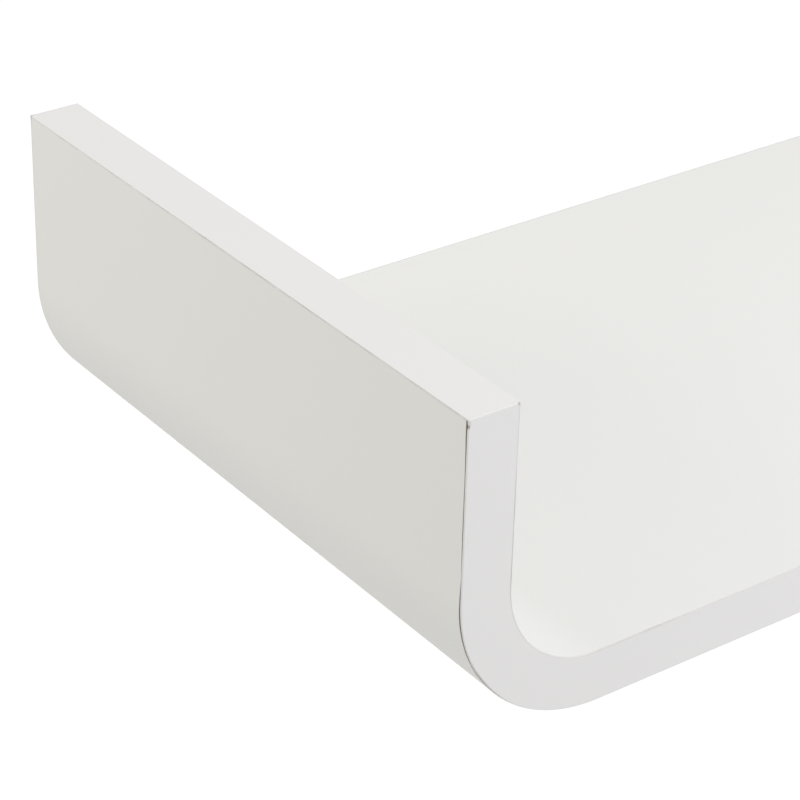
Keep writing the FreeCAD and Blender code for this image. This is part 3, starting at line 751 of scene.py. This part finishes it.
# a screw: rings from the middle of its head outwards, down the countersunk cone and along the thread,
# whose ridge is a triangle wave of the height plus the turn. HEAD holds the radii of the rings on the
# head, close together over the recess, and CONE the radius and y of those on its rim, cone and neck.
HEAD_RADIUS, SHANK_RADIUS, SCREW, POINT, TIP = 2.65, 1.5, 14.0, 3.0, 0.02
PITCH, ROOT, RIDGE, THREAD_FROM, THREAD_STEP = 1.35, 0.74, 0.28, 1.6, 0.1
RECESS_DEPTH, RECESS_HALF, RECESS_WALL, RECESS_REACH, RECESS_END = 0.9, 0.42, 0.14, 1.6, 0.6
HEAD = np.concatenate([[0.01], np.linspace(0.06, 1.74, 29), [2.0, 2.4, 2.56]])
CONE = np.array([[2.62, -0.01], [HEAD_RADIUS, -0.04], [2.6, -0.1], [SHANK_RADIUS, -1.2], [1.2, -1.5]])
AROUND_SCREW = np.linspace(0, 2 * np.pi, 96, endpoint=False)


def driver_recess(across, height):
    """Depth of the cross recess: two crossed slots with sloping walls and ends, whichever is deeper."""
    across, height = np.abs(across), np.abs(height)

    def slot(aside, along):
        """Share of the full depth in one slot, which falls to 0 over its walls and over its ends."""
        wall, end = (RECESS_HALF - aside) / RECESS_WALL, (RECESS_REACH - along) / RECESS_END
        return np.clip(wall, 0, 1) * np.clip(end, 0, 1)

    return RECESS_DEPTH * np.maximum(slot(across, height), slot(height, across))


down = np.arange(THREAD_FROM, SCREW - THREAD_STEP / 2, THREAD_STEP)
crest = SHANK_RADIUS * np.clip((SCREW - down) / POINT, TIP, 1)[:, None]
phase = (down[:, None] / PITCH + AROUND_SCREW / (2 * np.pi)) % 1
thread = crest * (ROOT + (1 - ROOT) * np.clip(1 - np.abs(phase - 0.5) / RIDGE, 0, 1))
radius = np.vstack([np.concatenate([HEAD, CONE[:, 0]])[:, None] + 0 * AROUND_SCREW, thread])
y = REAR + np.concatenate([0 * HEAD, CONE[:, 1], -down])[:, None] + 0 * radius
x, z = radius * np.cos(AROUND_SCREW), radius * np.sin(AROUND_SCREW)
y[: len(HEAD)] -= driver_recess(x[: len(HEAD)], z[: len(HEAD)])
pair = np.stack([np.stack([x, y, level + z], -1) for level in (LOWER_SCREW, UPPER_SCREW)])
for side, out in (("left", -1), ("right", 1)):
    screws = skin(f"{side}_hanger_screws_threaded", pair + [out * MIDDLE, 0, 0], zinc)
    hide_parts(f"{side}_hanger_screws")


# Stage
#
# A plain pale floor well below the shelf, soft light from all round, a lamp up in front, one behind
# the left end and a faint one near it, and a camera that looks down on the left end from the front.
FLOOR_LEVEL, FLOOR_HALF, FLOOR_LIFT = -0.40, 6.0, 0.62
ground = bpy.data.meshes.new("floor")
corners = np.array([[-1, -1, 0], [1, -1, 0], [1, 1, 0], [-1, 1, 0]]) * FLOOR_HALF
ground.from_pydata((corners + [0, 0, FLOOR_LEVEL]).tolist(), [], [[0, 1, 2, 3]])
floor = bpy.data.objects.new("floor", ground)
bpy.context.scene.collection.objects.link(floor)


def seen_directly(tree, ray):
    """1 for what the eye, a mirror-like reflection or a see-through piece looks at, 0 for other light."""
    seen = add_node(
        tree, "ShaderNodeMath", {0: ray["Is Camera Ray"], 1: ray["Is Glossy Ray"]}, operation="MAXIMUM"
    )
    seen = add_node(
        tree, "ShaderNodeMath", {0: seen.outputs[0], 1: ray["Is Transmission Ray"]}, operation="MAXIMUM"
    )
    return seen.outputs[0]


# Matt paper: the eye and mirror-like reflections see it as white, the rest gets its plain colour. The
# eye looks through it from below.
paper = new_material("matt_white_paper")
nodes = paper.node_tree
ray = add_node(nodes, "ShaderNodeLightPath", {}).outputs
underside = add_node(nodes, "ShaderNodeNewGeometry", {}).outputs["Backfacing"]
lift = add_node(
    nodes, "ShaderNodeMath", {0: seen_directly(nodes, ray), 1: FLOOR_LIFT}, operation="MULTIPLY"
).outputs[0]
matt = add_node(nodes, "ShaderNodeBsdfDiffuse", {"Color": linear("#C2C2C1")})
glow = add_node(nodes, "ShaderNodeEmission", {"Color": linear("#FFFFFF"), "Strength": lift})
lit = add_node(nodes, "ShaderNodeAddShader", {0: matt.outputs[0], 1: glow.outputs[0]})
clear = add_node(nodes, "ShaderNodeBsdfTransparent", {"Color": linear("#FFFFFF")})
from_below = add_node(
    nodes, "ShaderNodeMath", {0: ray["Is Camera Ray"], 1: underside}, operation="MULTIPLY"
)
either = add_node(
    nodes, "ShaderNodeMixShader", {0: from_below.outputs[0], 1: lit.outputs[0], 2: clear.outputs[0]}
)
add_node(nodes, "ShaderNodeOutputMaterial", {"Surface": either.outputs[0]})
ground.materials.append(paper)

ROOM_LIGHT = 0.757
world = bpy.data.worlds.new("studio")
bpy.context.scene.world = world
world.use_nodes = True
nodes = world.node_tree
nodes.nodes.clear()
ray = add_node(nodes, "ShaderNodeLightPath", {}).outputs
level = add_node(
    nodes, "ShaderNodeMapRange", {"Value": seen_directly(nodes, ray), "To Min": ROOM_LIGHT, "To Max": 1.0}
).outputs[0]
sky = add_node(nodes, "ShaderNodeBackground", {"Color": linear("#FFFFFF"), "Strength": level})
add_node(nodes, "ShaderNodeOutputWorld", {"Surface": sky.outputs[0]})


def looking(position, back, right):
    """The matrix of a lamp or camera at position that looks against back, with right to its right."""
    back, right = (np.array(v) / np.linalg.norm(v) for v in (back, right))
    turned = np.stack([right, np.cross(back, right), back, position], 1)
    return Matrix(np.vstack([turned, [0, 0, 0, 1]]).tolist())


# Each lamp gives a surface that faces it at the aim a share of white: an area lamp needs
# pi ** 2 * distance ** 2 watts for the whole of it. The front lamp is left out of reflections, which
# would show as a burnt patch on the shelf when seen from behind.
aim = np.array([-0.25, -0.12, 0.05])
for name, share, toward, distance, size, colour, reflected in (
    ("front", 0.365, (0.45, -0.75, 0.45), 1.0, 0.7, "#F4F3FF", False),
    ("behind", 0.189, (-0.80, 0.45, 0.35), 0.8, 0.4, "#FFFAF0", True),
    ("near", 0.07, (0.60, -0.60, 0.50), 0.55, 0.4, "#FFFFFF", True),
):
    toward = np.array(toward) / np.linalg.norm(toward)
    lamp = bpy.data.lights.new(name, "AREA")
    lamp.energy = share * np.pi**2 * distance**2
    lamp.size = size
    lamp.color = linear(colour)[:3]
    light = bpy.data.objects.new(name, lamp)
    light.visible_camera = False
    light.visible_glossy = reflected
    bpy.context.scene.collection.objects.link(light)
    light.matrix_world = looking(aim + distance * toward, toward, np.cross([0, 0, 1], toward))

# The camera was fitted to the photograph's edges: where it stands, its azimuth, its drop and its roll.
FOCAL_LENGTH_IN_PIXELS, IMAGE = 2921.3, 800
STANDPOINT = (-0.65642, -0.6509, 0.43124)
azimuth, drop, roll = np.radians([36.747, 29.901, -1.514])
forward = np.array([np.sin(azimuth) * np.cos(drop), np.cos(azimuth) * np.cos(drop), -np.sin(drop)])
right = np.cross(forward, [0, 0, 1])
right /= np.linalg.norm(right)
down = np.cross(forward, right)
view = bpy.data.cameras.new("view")
view.sensor_fit, view.sensor_width = "HORIZONTAL", 36.0
view.lens = FOCAL_LENGTH_IN_PIXELS * view.sensor_width / IMAGE
view.clip_start, view.clip_end = 0.01, 50.0
camera = bpy.data.objects.new("camera", view)
bpy.context.scene.collection.objects.link(camera)
camera.matrix_world = looking(STANDPOINT, -forward, np.cos(roll) * right + np.sin(roll) * down)
bpy.context.scene.camera = camera
bpy.context.scene.view_settings.view_transform = "Standard"
